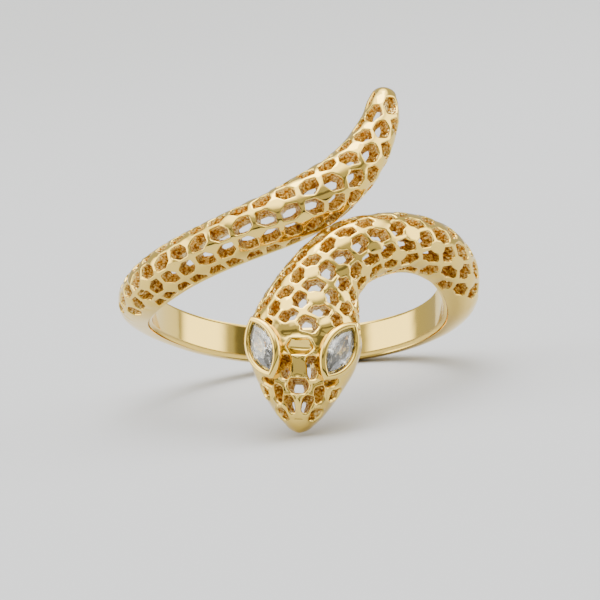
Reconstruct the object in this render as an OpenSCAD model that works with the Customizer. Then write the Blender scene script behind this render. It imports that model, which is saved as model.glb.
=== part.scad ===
// Bypass ring in the form of a snake, one casting with two marquise stones set as eyes.
// The ring is drawn round the finger axis and then laid down: it rests on the snout in
// front and on the lower edge of the shank behind.

/* [Band] */
// Radius of the finger hole
finger_r = 8.65; // [8:0.05:10.5]
// Width of the plain shank, along the finger
shank_w = 2.3; // [1.9:0.05:2.8]
// Thickness of the plain shank
shank_t = 1.6; // [1.3:0.05:2.1]
// Bevel on the two edges that meet the finger
edge_bevel = 0.25; // [0.1:0.01:0.4]

/* [Snake] */
// Width of the pierced body
body_w = 3.4; // [2.9:0.05:4]
// Height of the pierced body above the finger
body_t = 2.3; // [1.9:0.05:2.8]
// Width of the head at the eyes
head_w = 6.65; // [6:0.05:7.4]
// Height of the head above the finger
head_t = 3.0; // [2.6:0.05:3.5]
// How far the tail tip reaches above the middle of the band
tail_reach = 10.3; // [9:0.05:11.5]
// How far the snout reaches below the middle of the band
snout_reach = 10.95; // [9.5:0.05:12]
// Thickness of the cast wall round the hollow body
wall_t = 0.8; // [0.6:0.05:1]

/* [Piercing] */
// Side of one square of the pierced lattice
cell = 1.27; // [1.15:0.01:1.5]
// Width of the thinnest struts between two openings
strut_w = 0.26; // [0.18:0.01:0.4]
// Plain rail left along each lower edge, measured up the side of the body
rail_h = 0.9; // [0.4:0.05:1.2]

/* [Eyes] */
// Length of a marquise stone
stone_l = 3.0; // [2.5:0.05:3.4]
// Width of a marquise stone
stone_w = 1.5; // [1.2:0.05:1.8]
// Width of the bezel rim round a stone
bezel_w = 0.36; // [0.25:0.01:0.5]
// Height of the bezel rim above the head
bezel_h = 0.42; // [0.3:0.01:0.6]
// Clearance between a stone and its seat
seat_gap = 0.03; // [0.02:0.01:0.06]

/* [Hidden] */

GOLD = [0.86, 0.70, 0.38];
DIAMOND = [0.90, 0.93, 0.96];

// The path is laid out on the cylinder halfway up the body and unrolled.
unroll_r = finger_r + body_t / 2;
// Power of the superellipse that rounds the body's section
fullness = 2.3;
// Steps along one row of a table, and across a section: of the skin, and of the hollow
shank_along = 2;
skin_along = 1.5;
skin_across = 8;
hollow_along = 1;
hollow_across = 6;
// The hollow is cut past the finger surface by this much
past = 0.6;
// Most of the half width that the wall may fill where the body is slim, and that an
// opening's plug may cut away from each side
wall_limit = 0.55;
plug_limit = 0.8;
// How much further apart the lattice lies across the body than its half ellipse
tail_spread = 1;
front_spread = 1.2;
// Steps of the lattice line between two rows
fine = 12;
// Cut off the corners of an opening at a plate and at a strut crossing, in lattice squares
plate_cut = 0.35;
cross_cut = 0.04;
// How much smaller an opening is at the inner face of the wall
inner_share = 0.86;
// How far an opening's plug stands out of the skin, past the wall, and bulges at its middle
plug_out = 0.35;
plug_past = 0.3;
plug_bulge = 0.1;
// Row at which the plain shank gives way to the body
shank_end = 4;
// Rows between which each hollow and its openings lie
tail_hollow = [4.2, 17];
tail_open = [4.6, 17.1];
front_hollow = [4.1, 16.3];
front_open = [4.5, 13.3];
// The openings begin in a point: half angle of the section gained over each row
start_gain = 46;
// Least way from an opening's middle to the plain rail, in lattice squares, and the
// degrees of the section by which its corners may come nearer to the rail
centre_room = 0.45;
corner_room = 9;

// Turn of the whole face off the ridge, in degrees
face_turn = -3.5;
// Places of the eyes on the head: row, and degrees off the face's middle
eye_row = 13.84;
eye_side = 31;
// Slant of an eye against the head's own line
eye_slant = 14;
// How deep a bezel's foot is sunk into the head
eye_depth = 1.25;

// Columns of both tables, one row for each section of the body:
// degrees round the finger from the front, rise as a share of the reach,
// width as shares of shank_w, body_w and head_w, height as shares of shank_t, body_t and
// head_t, lattice square as a share of cell, and turn of the lattice in degrees.
ANG = 0;
RISE = 1;
SQUARE = 8;
TURN = 9;

TAIL = [
    [-180, 0, 1, 0, 0, 1, 0, 0, 0.94, -4.6],
    [-161, 0, 1, 0, 0, 1, 0, 0, 0.94, -4.6],
    [-142, 0, 1, 0, 0, 1, 0, 0, 0.94, -4.6],
    [-124, 0, 1, 0, 0, 0.9, 0.09, 0, 0.94, -4.6],
    [-107, -0.01, 0.6, 0.3, 0, 0.55, 0.39, 0, 0.95, -1.5],
    [-91, -0.029, 0.2, 0.63, 0, 0.2, 0.71, 0, 0.96, 1.5],
    [-74, -0.046, 0, 0.84, 0, 0, 0.91, 0, 0.97, 4.5],
    [-57, -0.037, 0, 0.87, 0, 0, 0.96, 0, 0.98, 7.5],
    [-41.5, -0.003, 0, 0.86, 0, 0, 0.98, 0, 0.99, 10.5],
    [-28, 0.041, 0, 0.87, 0, 0, 1, 0, 1, 13.5],
    [-15, 0.102, 0, 0.93, 0, 0, 1, 0, 1.01, 14.5],
    [-3, 0.18, 0, 1, 0, 0, 1, 0, 1.02, 15],
    [8.5, 0.29, 0, 1.01, 0, 0, 0.96, 0, 1.03, 15.5],
    [18.3, 0.427, 0, 0.94, 0, 0, 0.89, 0, 1.045, 18],
    [25.3, 0.573, 0, 0.84, 0, 0, 0.83, 0, 1.06, 20],
    [31, 0.75, 0, 0.7, 0, 0, 0.71, 0, 1.08, 20.5],
    [32.9, 0.865, 0, 0.6, 0, 0, 0.65, 0, 1.09, 19.5],
    [34.4, 0.956, 0, 0.44, 0, 0, 0.49, 0, 1.11, 18.5],
    [34.9, 1, 0, 0.24, 0, 0, 0.3, 0, 1.11, 18.5]
];

FRONT = [
    [180, 0, 1, 0, 0, 1, 0, 0, 1.29, 38],
    [161, 0, 1, 0, 0, 1, 0, 0, 1.29, 38],
    [142, 0, 1, 0, 0, 1, 0, 0, 1.29, 38],
    [124, 0, 0.9, 0.08, 0, 0.9, 0.09, 0, 1.29, 38],
    [107, 0.009, 0.5, 0.43, 0, 0.5, 0.46, 0, 1.29, 38],
    [91, 0.027, 0.2, 0.76, 0, 0.2, 0.77, 0, 1.29, 38],
    [74, 0.073, 0, 0.97, 0, 0, 0.98, 0, 1.23, 36.5],
    [57.5, 0.098, 0, 1, 0, 0, 1, 0, 1.165, 34.5],
    [43, 0.089, 0, 1, 0, 0, 1.02, 0, 1.1, 33],
    [30, 0.04, 0, 1.06, 0, 0, 1.04, 0, 1.04, 31],
    [18, -0.046, 0, 0.9, 0.15, 0, 0.85, 0.17, 0.98, 41],
    [9.7, -0.183, 0, 0.5, 0.44, 0, 0.6, 0.37, 0.92, 50.5],
    [5.3, -0.338, 0, 0, 0.87, 0, 0, 0.9, 0.87, 54.5],
    [2.6, -0.493, 0, 0, 1, 0, 0, 1, 0.82, 58.5],
    [1.5, -0.648, 0, 0, 0.93, 0, 0, 0.97, 0.77, 63.5],
    [0.8, -0.795, 0, 0, 0.69, 0, 0, 0.83, 0.72, 68],
    [0.35, -0.913, 0, 0, 0.41, 0, 0, 0.63, 0.72, 68],
    [0, -1, 0, 0, 0.09, 0, 0, 0.27, 0.72, 68]
];

// Openings of the face, on both sides of its middle where they lie off it. Columns: row,
// degrees off the middle, half length as a share of snout_reach, half width as a share of
// head_w, slant in degrees.
FACE = [
    [13.83, 0,    0.035, 0.063, 0],
    [15.15, 0,    0.035, 0.063, 0],
    [14.5,  11,   0.055, 0.03,  10],
    [15.87, 14.5, 0.038, 0.038, -5],
    [15.4,  30,   0.038, 0.04,  30],
    [14.82, 38,   0.036, 0.036, -62],
    [16.2,  48,   0.025, 0.06,  10],
    [15.2,  60,   0.036, 0.04,  -60]
];

function blend(a, b, c, d, f) =
    0.5 * (2 * b + (c - a) * f + (2 * a - 5 * b + 4 * c - d) * f * f
        + (3 * b - a - 3 * c + d) * f * f * f);

function at(rows, i) =
    i < 0 ? 2 * rows[0] - rows[1]
    : i >= len(rows) ? 2 * rows[len(rows) - 1] - rows[len(rows) - 2]
    : rows[i];

// Smooth row at place u of a table, where whole numbers are the rows themselves
function row(rows, u) =
    let (i = max(0, min(len(rows) - 2, floor(u))))
    blend(at(rows, i - 1), at(rows, i), at(rows, i + 1), at(rows, i + 2), u - i);

function real_rows(rows, reach) = [
    for (r = rows) [
        r[ANG],
        r[RISE] * reach,
        r[2] * shank_w + r[3] * body_w + r[4] * head_w,
        r[5] * shank_t + r[6] * body_t + r[7] * head_t,
        r[SQUARE] * cell,
        r[TURN]
    ]
];

tail = real_rows(TAIL, tail_reach);
front = real_rows(FRONT, snout_reach);

// Place along the unrolled path, and the direction that it runs there
function unrolled(r) = [r[0] * PI / 180 * unroll_r, r[1]];
function heading(rows, u) =
    let (d = unrolled(row(rows, u + 0.01)) - unrolled(row(rows, u - 0.01)))
    atan2(d[1], d[0]);

// Point n above the finger, w to the left of the path at place u
function wrapped(rows, u, w, n) =
    let (
        c = unrolled(row(rows, u)),
        h = heading(rows, u),
        a = (c[0] - w * sin(h)) / unroll_r * 180 / PI
    )
    [(finger_r + n) * sin(a), -(finger_r + n) * cos(a), c[1] + w * cos(h)];

function inset(half, depth, limit = wall_limit) = min(depth, limit * half);
function power(x) = sign(x) * pow(abs(x), 2 / fullness);

// Point of the body's skin: t runs from 0 at one rail over the ridge at 90 to 180
function skin(rows, u, t, depth, limit = wall_limit) =
    let (
        r = row(rows, u),
        d = inset(r[2] / 2, depth, limit),
        top = r[3] - d - edge_bevel
    )
    wrapped(rows, u, -(r[2] / 2 - d) * power(cos(t)), edge_bevel + top * power(sin(t)));

// Section of the body or of its hollow, closed below the finger surface
function section(rows, u, n, depth, tuck, below) =
    let (
        half = row(rows, u)[2] / 2,
        d = inset(half, depth),
        sole = half - d - min(tuck, wall_limit * half)
    )
    concat(
        [for (k = [0 : n]) skin(rows, u, 180 * k / n, depth)],
        [wrapped(rows, u, sole, -below), wrapped(rows, u, -sole, -below)]
    );

module loft(sections) {
    n = len(sections[0]);
    last = len(sections) - 1;
    polyhedron(
        points = [for (s = sections) each s],
        faces = concat(
            [for (i = [0 : last - 1], j = [0 : n - 1])
                each [
                    [i * n + j, i * n + (j + 1) % n, (i + 1) * n + (j + 1) % n],
                    [i * n + j, (i + 1) * n + (j + 1) % n, (i + 1) * n + j]
                ]],
            [for (j = [1 : n - 2]) [0, j + 1, j]],
            [for (j = [1 : n - 2]) [last * n, last * n + j, last * n + j + 1]]
        )
    );
}

function steps(from, to, along) =
    let (n = ceil((to - from) * along))
    [for (k = [0 : n]) from + (to - from) * k / n];

function body_steps(rows) =
    concat(
        steps(0, shank_end - 1 / shank_along, shank_along),
        steps(shank_end, len(rows) - 1, skin_along)
    );

module body(rows) {
    loft([
        for (u = body_steps(rows))
        section(rows, u, skin_across, 0, 2 * edge_bevel, edge_bevel)
    ]);
}

module hollow(rows, span) {
    loft([
        for (u = steps(span[0], span[1], hollow_along))
        section(rows, u, hollow_across, wall_t, 0, past)
    ]);
}

// Half of an ellipse's rim, the way over the body from rail to rail
function half_rim(a, b) = PI / 2 * (3 * (a + b) - sqrt((3 * a + b) * (a + 3 * b)));

// Line of the path on the flat lattice: place u, point, turn, square and way across
function lattice_step(rows, u) =
    let (
        a = row(rows, u),
        b = row(rows, u + 1 / fine),
        d = norm(unrolled(b) - unrolled(a)) / a[4],
        turn = heading(rows, u + 0.5 / fine) - a[5]
    )
    [d * cos(turn), d * sin(turn)];

function lattice_line(rows, spread) =
    let (n = (len(rows) - 1) * fine)
    [
        for (
            i = 0, p = [0, 0];
            i <= n;
            p = p + lattice_step(rows, i / fine), i = i + 1
        )
        let (r = row(rows, i / fine), turn = heading(rows, i / fine) - r[5])
        [i / fine, p, [cos(turn), sin(turn)], r[4], spread * half_rim(r[2] / 2, r[3])]
    ];

// Places u, w where the lattice point p lies on the body, found across the line
function across_from(line, p) = [
    for (i = [1 : len(line) - 3])
    let (a = line[i], b = line[i + 1], d = (p - a[1]) * a[2], e = (p - b[1]) * b[2])
    if (d >= 0 && e < 0)
    let (f = d / (d - e), w = (p - a[1] - f * (b[1] - a[1])) * [-a[2][1], a[2][0]])
    [i, f, w]
];

function nearest(found) =
    let (least = min([for (q = found) abs(q[2])]))
    [for (q = found) if (abs(q[2]) == least) q][0];

// Corners of the opening in one lattice square, with plates at two facing corners
function opening(odd) =
    let (
        b = 0.5 - strut_w / 2 / cell,
        p = plate_cut,
        c = cross_cut,
        loop = [
            [p - b, -b], [b - c, c - b], [b, b - p],
            [b - p, b], [c - b, b - c], [-b, p - b]
        ]
    )
    odd ? [for (k = [5 : -1 : 0]) [-loop[k][0], loop[k][1]]] : loop;

// Corners u, t of the opening in lattice square i, j, or nothing where there is none
function placed(line, shift, i, j, span) =
    let (
        p = [i + 0.5, j + 0.5] - shift,
        found = across_from(line, p)
    )
    len(found) == 0 ? []
    : let (
        q = nearest(found),
        a = line[q[0]],
        b = line[q[0] + 1],
        u = a[0] + q[1] / fine,
        bend = a[2][0] * b[2][1] - a[2][1] * b[2][0],
        pace = (norm(b[1] - a[1]) - bend * q[2]) * fine,
        degrees = 180 * a[3] / a[4],
        t = 90 + q[2] * degrees,
        room = 90 - rail_h * 180 / a[4] - centre_room * degrees,
        reach = min(room, (u - span[0]) * start_gain)
    )
    u < span[0] || u > span[1] || abs(t - 90) > reach || pace < 0.25 ? []
    : [
        for (c = opening((i + j) % 2 != 0))
        let (
            edge = room + corner_room,
            off = t - 90 + c * [-a[2][1], a[2][0]] * degrees
        )
        [u + c * a[2] / pace, 90 + max(-edge, min(edge, off))]
    ];

// Openings in all lattice squares that the body covers
function pattern(line, shift, span) =
    let (
        across = max([for (s = line) s[4] / s[3]]) / 2,
        low = [for (k = [0 : 1]) floor(min([for (s = line) s[1][k]]) + shift[k] - across)],
        high = [for (k = [0 : 1]) ceil(max([for (s = line) s[1][k]]) + shift[k] + across)]
    )
    [
        for (i = [low[0] : high[0]], j = [low[1] : high[1]])
        let (loop = placed(line, shift, i, j, span))
        if (len(loop) > 0) loop
    ];

// Outline of a face opening in half lengths and half widths, an oblong with cut corners
face_cut = 0.4;
FACE_LOOP = [
    for (s = [[-1, -1], [1, -1], [1, 1], [-1, 1]])
    each s[0] * s[1] > 0
        ? [[s[0], s[1] * (1 - face_cut)], [s[0] * (1 - face_cut), s[1]]]
        : [[s[0] * (1 - face_cut), s[1]], [s[0], s[1] * (1 - face_cut)]]
];

// Corners of a face opening in the same u, t form
function face_opening(f, side) =
    let (
        r = row(front, f[0]),
        pace = norm(unrolled(row(front, f[0] + 0.5)) - unrolled(row(front, f[0] - 0.5))),
        degrees = 180 / half_rim(r[2] / 2, r[3]),
        half = [f[2] * snout_reach, f[3] * head_w]
    )
    [
        for (c = FACE_LOOP)
        let (
            x = c[0] * half[0] * cos(f[4]) - c[1] * half[1] * sin(f[4]),
            y = c[0] * half[0] * sin(f[4]) + c[1] * half[1] * cos(f[4])
        )
        [f[0] + x / pace, 90 + face_turn + side * (f[1] + y * degrees)]
    ];

function turned(loop, side) = side > 0 ? loop : [for (k = [len(loop) - 1 : -1 : 0]) loop[k]];

face_loops = [
    for (f = FACE, side = f[1] == 0 ? [1] : [-1, 1]) turned(face_opening(f, side), side)
];

// Plug that cuts one opening through the wall, a little smaller inside
module plug(rows, loop) {
    n = len(loop);
    mid = [for (k = [0 : 1]) [for (c = loop) c[k]] * [for (c = loop) 1] / n];
    outer = [for (c = loop) skin(rows, c[0], c[1], -plug_out)];
    inner = [
        for (c = loop)
        let (s = mid + (c - mid) * inner_share)
        skin(rows, s[0], s[1], wall_t + plug_past, plug_limit)
    ];
    polyhedron(
        points = concat(
            outer, inner,
            [skin(rows, mid[0], mid[1], -plug_out - plug_bulge)],
            [skin(rows, mid[0], mid[1], wall_t + plug_past + plug_bulge, plug_limit)]
        ),
        faces = concat(
            [for (k = [0 : n - 1]) [2 * n, (k + 1) % n, k]],
            [for (k = [0 : n - 1]) [2 * n + 1, n + k, n + (k + 1) % n]],
            [for (k = [0 : n - 1]) [k, (k + 1) % n, n + (k + 1) % n]],
            [for (k = [0 : n - 1]) [k, n + (k + 1) % n, n + k]]
        )
    );
}

tail_line = lattice_line(tail, tail_spread);
front_line = lattice_line(front, front_spread);
// Lattice squares at the start of each line, so that plates and openings fall in place
tail_shift = [-1.548, -0.056] - tail_line[11 * fine][1];
front_shift = [0.453, -0.477] - front_line[10 * fine][1];

tail_loops = pattern(tail_line, tail_shift, tail_open);
front_loops = pattern(front_line, front_shift, front_open);

module pierced(rows, span, loops) {
    difference() {
        body(rows);
        hollow(rows, span);
        for (loop = loops) plug(rows, loop);
    }
}

// Outline of a marquise, grown by d all round, at height z
function marquise(d, z, n = 8) =
    let (
        b = stone_w / 2,
        a = stone_l / 2,
        r = (a * a + b * b) / (2 * b),
        half = sqrt(pow(r + d, 2) - pow(r - b, 2)),
        side = [
            for (k = [0 : n])
            let (x = half * cos(180 * k / n))
            [x, sqrt(max(0, pow(r + d, 2) - x * x)) - (r - b), z]
        ]
    )
    concat([for (p = side) [p[0], -p[1], z]], [for (k = [n - 1 : -1 : 1]) side[k]]);

// Matrix that lays a shape drawn round the Z axis on the head, long side along the slant
function eye_matrix(side) =
    let (
        t = 90 + face_turn + side * eye_side,
        o = skin(front, eye_row, t, 0),
        du = skin(front, eye_row + 0.02, t, 0) - skin(front, eye_row - 0.02, t, 0),
        dt = skin(front, eye_row, t + 1, 0) - skin(front, eye_row, t - 1, 0),
        z = cross(du, dt) / norm(cross(du, dt)),
        e = du / norm(du),
        x = e * cos(eye_slant) - side * cross(z, e) * sin(eye_slant),
        y = cross(z, x)
    )
    [for (k = [0 : 2]) [x[k], y[k], z[k], o[k]]];

module at_eye(side) {
    multmatrix(eye_matrix(side)) children();
}

// Seat of the girdle above the head, and the stone's crown and pavilion
girdle_z = 0.18;
crown_h = 0.26;
girdle_h = 0.05;
pavilion_h = 0.62;
table_share = 0.55;
culet_share = 0.06;

function shrunk(loop, share, z) = [for (p = loop) [p[0] * share, p[1] * share, z]];

// The stone grown by d: table, crown, girdle and pavilion
module brilliant(d, top) {
    girdle = marquise(d, girdle_z);
    loft([
        shrunk(girdle, culet_share, girdle_z - girdle_h - pavilion_h - d),
        shrunk(girdle, 0.62, girdle_z - girdle_h - pavilion_h * 0.45 - d / 2),
        shrunk(girdle, 1, girdle_z - girdle_h),
        girdle,
        top > 0 ? shrunk(girdle, 1, top) : shrunk(girdle, 0.8, girdle_z + crown_h * 0.62),
        top > 0 ? shrunk(girdle, 1, top + 0.1) : shrunk(girdle, table_share, girdle_z + crown_h)
    ]);
}

// Profile of the bezel above the head: shares of its width and of its height
BEZEL = [[1.25, -0.24], [1, 0.6], [0.75, 0.93], [0.35, 1]];

module bezel() {
    loft(concat(
        [marquise(bezel_w * 0.6, -eye_depth)],
        [for (b = BEZEL) marquise(bezel_w * b[0], bezel_h * b[1])]
    ));
}

// The ring lies on its snout and on the shank's lower edge.
rest_tilt = 28.2;
rest_roll = 7.3;

function laid(p) =
    let (
        y = p[1] * cos(rest_tilt) + p[2] * sin(rest_tilt),
        z = p[2] * cos(rest_tilt) - p[1] * sin(rest_tilt)
    )
    [p[0] * cos(rest_roll) + z * sin(rest_roll), y, z * cos(rest_roll) - p[0] * sin(rest_roll)];

outline = concat(
    [
        for (rows = [tail, front], u = body_steps(rows))
        each section(rows, u, skin_across, 0, edge_bevel, 0)
    ],
    [
        for (side = [-1, 1], p = marquise(bezel_w, bezel_h * 0.6))
        eye_matrix(side) * concat(p, [1])
    ]
);
low = [for (k = [0 : 2]) min([for (p = outline) laid(p)[k]])];
high = [for (k = [0 : 2]) max([for (p = outline) laid(p)[k]])];

module lay_down() {
    translate([-(low[0] + high[0]) / 2, -(low[1] + high[1]) / 2, -low[2]])
    rotate([0, rest_roll, 0])
    rotate([-rest_tilt, 0, 0])
    children();
}

module snake_ring() {
    color(GOLD)
    lay_down()
    difference() {
        resize([0, 0, 0])
        difference() {
            union() {
                pierced(tail, tail_hollow, tail_loops);
                pierced(front, front_hollow, concat(front_loops, face_loops));
                for (side = [-1, 1]) at_eye(side) bezel();
            }
            for (side = [-1, 1]) at_eye(side) brilliant(seat_gap, bezel_h);
        }
        cylinder(r = finger_r, h = 4 * snout_reach, center = true, $fn = 96);
    }
}

module eye_stone_left() {
    color(DIAMOND) lay_down() at_eye(-1) brilliant(0, 0);
}

module eye_stone_right() {
    color(DIAMOND) lay_down() at_eye(1) brilliant(0, 0);
}

snake_ring();
eye_stone_left();
eye_stone_right();
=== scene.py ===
import bmesh
import bpy
import numpy as np
from mathutils import Matrix, Vector
from mathutils.geometry import delaunay_2d_cdt


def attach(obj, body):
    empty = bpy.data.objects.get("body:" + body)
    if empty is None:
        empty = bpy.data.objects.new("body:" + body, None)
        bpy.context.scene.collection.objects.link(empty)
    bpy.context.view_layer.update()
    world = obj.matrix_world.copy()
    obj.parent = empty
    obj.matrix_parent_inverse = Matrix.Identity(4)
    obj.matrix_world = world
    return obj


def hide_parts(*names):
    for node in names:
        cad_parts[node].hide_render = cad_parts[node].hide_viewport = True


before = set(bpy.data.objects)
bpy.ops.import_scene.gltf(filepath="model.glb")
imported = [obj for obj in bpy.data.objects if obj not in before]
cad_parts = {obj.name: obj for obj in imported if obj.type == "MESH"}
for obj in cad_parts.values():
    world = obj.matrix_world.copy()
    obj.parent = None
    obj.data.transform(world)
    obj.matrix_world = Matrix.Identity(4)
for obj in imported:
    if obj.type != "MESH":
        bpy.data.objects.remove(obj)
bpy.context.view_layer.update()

# The casting: path of the snake round the finger.
# The real ring is one lost-wax casting in 14 carat yellow gold. The band starts plain at the
# back, and both halves grow into the snake's body on their way to the front.
FINGER_R = 8.65
SHANK_W, SHANK_T = 2.3, 1.6
BODY_W, BODY_T = 3.4, 2.3
HEAD_W, HEAD_T = 6.65, 3.0
TAIL_REACH, SNOUT_REACH = 10.3, 10.95
EDGE_BEVEL = 0.25
WALL_T = 0.8
WALL_LIMIT = 0.55  # most of the half width that a wall may fill
FULLNESS = 2.3  # power of the superellipse of the sections
UNROLL_R = FINGER_R + BODY_T / 2

# degrees round the finger, rise as a share of the reach, width as shares of shank, body and
# head, height as shares of shank, body and head, lattice square as a share, lattice turn
TAIL = np.array([
    [-180, 0, 1, 0, 0, 1, 0, 0, 0.94, -4.6],
    [-161, 0, 1, 0, 0, 1, 0, 0, 0.94, -4.6],
    [-142, 0, 1, 0, 0, 1, 0, 0, 0.94, -4.6],
    [-124, 0, 1, 0, 0, 0.9, 0.09, 0, 0.94, -4.6],
    [-107, -0.01, 0.6, 0.3, 0, 0.55, 0.39, 0, 0.95, -1.5],
    [-91, -0.029, 0.2, 0.63, 0, 0.2, 0.71, 0, 0.96, 1.5],
    [-74, -0.046, 0, 0.84, 0, 0, 0.91, 0, 0.97, 4.5],
    [-57, -0.037, 0, 0.87, 0, 0, 0.96, 0, 0.98, 7.5],
    [-41.5, -0.003, 0, 0.86, 0, 0, 0.98, 0, 0.99, 10.5],
    [-28, 0.041, 0, 0.87, 0, 0, 1, 0, 1, 13.5],
    [-15, 0.102, 0, 0.93, 0, 0, 1, 0, 1.01, 14.5],
    [-3, 0.18, 0, 1, 0, 0, 1, 0, 1.02, 15],
    [8.5, 0.29, 0, 1.01, 0, 0, 0.96, 0, 1.03, 15.5],
    [18.3, 0.427, 0, 0.94, 0, 0, 0.89, 0, 1.045, 18],
    [25.3, 0.573, 0, 0.84, 0, 0, 0.83, 0, 1.06, 20],
    [31, 0.75, 0, 0.7, 0, 0, 0.71, 0, 1.08, 20.5],
    [32.9, 0.865, 0, 0.6, 0, 0, 0.65, 0, 1.09, 19.5],
    [34.4, 0.956, 0, 0.44, 0, 0, 0.49, 0, 1.11, 18.5],
    [34.9, 1, 0, 0.24, 0, 0, 0.3, 0, 1.11, 18.5]])
FRONT = np.array([
    [180, 0, 1, 0, 0, 1, 0, 0, 1.29, 38],
    [161, 0, 1, 0, 0, 1, 0, 0, 1.29, 38],
    [142, 0, 1, 0, 0, 1, 0, 0, 1.29, 38],
    [124, 0, 0.9, 0.08, 0, 0.9, 0.09, 0, 1.29, 38],
    [107, 0.009, 0.5, 0.43, 0, 0.5, 0.46, 0, 1.29, 38],
    [91, 0.027, 0.2, 0.76, 0, 0.2, 0.77, 0, 1.29, 38],
    [74, 0.073, 0, 0.97, 0, 0, 0.98, 0, 1.23, 36.5],
    [57.5, 0.098, 0, 1, 0, 0, 1, 0, 1.165, 34.5],
    [43, 0.089, 0, 1, 0, 0, 1.02, 0, 1.1, 33],
    [30, 0.04, 0, 1.06, 0, 0, 1.04, 0, 1.04, 31],
    [18, -0.046, 0, 0.9, 0.15, 0, 0.85, 0.17, 0.98, 41],
    [9.7, -0.183, 0, 0.5, 0.44, 0, 0.6, 0.37, 0.92, 50.5],
    [5.3, -0.338, 0, 0, 0.87, 0, 0, 0.9, 0.87, 54.5],
    [2.6, -0.493, 0, 0, 1, 0, 0, 1, 0.82, 58.5],
    [1.5, -0.648, 0, 0, 0.93, 0, 0, 0.97, 0.77, 63.5],
    [0.8, -0.795, 0, 0, 0.69, 0, 0, 0.83, 0.72, 68],
    [0.35, -0.913, 0, 0, 0.41, 0, 0, 0.63, 0.72, 68],
    [0, -1, 0, 0, 0.09, 0, 0, 0.27, 0.72, 68]])
CELL = 1.27


def real_rows(table, reach):
    """Columns: angle, rise = share * reach, width and height = shares of the named sizes,
    lattice square = share * cell, lattice turn."""
    return np.column_stack([
        table[:, 0], table[:, 1] * reach,
        table[:, 2:5] @ [SHANK_W, BODY_W, HEAD_W],
        table[:, 5:8] @ [SHANK_T, BODY_T, HEAD_T],
        table[:, 8] * CELL, table[:, 9]])


def row_at(rows, u):
    """Uniform Catmull-Rom between rows b and c, from a and d outside them:
    (2b + (c - a)f + (2a - 5b + 4c - d)f^2 + (3b - a - 3c + d)f^3) / 2."""
    u = np.asarray(u, float)
    i = np.clip(np.floor(u).astype(int), 0, len(rows) - 2)
    f = (u - i)[..., None]
    ends = np.vstack([2 * rows[0] - rows[1], rows, 2 * rows[-1] - rows[-2]])
    a, b, c, d = (ends[i + k] for k in range(4))
    return 0.5 * (2 * b + (c - a) * f + (2 * a - 5 * b + 4 * c - d) * f**2
                  + (3 * b - a - 3 * c + d) * f**3)


def unrolled(rows, u):
    """Place of the path on the flat sheet: (angle * radius, rise)."""
    r = row_at(rows, u)
    return np.stack([np.radians(r[..., 0]) * UNROLL_R, r[..., 1]], -1)


def heading(rows, u):
    """Angle of the path on the flat sheet."""
    d = unrolled(rows, u + 0.01) - unrolled(rows, u - 0.01)
    return np.arctan2(d[..., 1], d[..., 0])


def wrapped(rows, u, w, n):
    """Point n above the finger and w to the left of the path: (R + n) round the axis at the
    angle (x - w sin h) / R0, height y + w cos h."""
    c, h = unrolled(rows, u), heading(rows, u)
    a = (c[..., 0] - w * np.sin(h)) / UNROLL_R
    return np.stack([(FINGER_R + n) * np.sin(a), -(FINGER_R + n) * np.cos(a),
                     c[..., 1] + w * np.cos(h)], -1)


def power(x):
    """sign(x) |x|^(2 / m), the superellipse's share at a sine or cosine x."""
    return np.sign(x) * np.abs(x) ** (2 / FULLNESS)


def skin(rows, u, t, depth=0.0):
    """Superellipse section at u, from one rail (t = 0) over the ridge (90) to the other (180):
    w = -a |cos t|^(2/m), n = bevel + b |sin t|^(2/m), both less the depth."""
    r = row_at(rows, u)
    half, t = r[..., 2] / 2, np.radians(t)
    d = np.minimum(depth, WALL_LIMIT * half)
    return wrapped(rows, u, -(half - d) * power(np.cos(t)),
                   EDGE_BEVEL + (r[..., 3] - d - EDGE_BEVEL) * power(np.sin(t)))


def outward(rows, u, t, depth=0.0):
    """Unit normal of the skin: cross product of its steps along u and along t, which is kept
    off the rails, where the skin ends."""
    t = np.clip(t, 0.6, 179.4)
    du = skin(rows, u + 0.01, t, depth) - skin(rows, u - 0.01, t, depth)
    dt = skin(rows, u, t + 0.3, depth) - skin(rows, u, t - 0.3, depth)
    n = np.cross(du, dt)
    return n / np.linalg.norm(n, axis=-1, keepdims=True)


def half_rim(rows, u):
    """Way over the body from rail to rail: half of an ellipse's rim (Ramanujan)."""
    r = row_at(rows, u)
    a, b = r[..., 2] / 2, r[..., 3]
    return np.pi / 2 * (3 * (a + b) - np.sqrt((3 * a + b) * (a + 3 * b)))


tail, front = real_rows(TAIL, TAIL_REACH), real_rows(FRONT, SNOUT_REACH)

# The casting: layout of the pierced lattice.
# The wax was cut through in a net of squares that lies slantwise over the body. Domed plates
# stand at every second knot of the net, slim struts cross at the others.
STRUT_W = 0.26
RAIL_H = 0.12
PLATE_R = 0.42  # of a plate, in lattice squares
CROSS_CUT = 0.04  # of the corners where struts cross, in lattice squares
CENTRE_ROOM = -0.15  # of an opening's middle to the rail, in lattice squares
START_GAIN = 46  # degrees that the lattice widens by in a row, from its first opening
LEAST_PACE = 0.25  # squares to a row, below which an opening would be torn out of shape
FINE = 12  # steps of the path to a row
NET = np.stack(np.meshgrid(np.arange(-16, 13), np.arange(-9, 8), indexing="ij"), -1).reshape(-1, 2)
# spread of the net over the body, and the net's point that lies on the path at a row
TAIL_NET = {"spread": 1.0, "at_row": 11, "at_point": (-1.548, -0.056)}
FRONT_NET = {"spread": 1.2, "at_row": 10, "at_point": (0.453, -0.477)}
TAIL_OPEN, FRONT_OPEN = (4.6, 16.7), (4.5, 13.3)  # rows between which the openings lie
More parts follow.
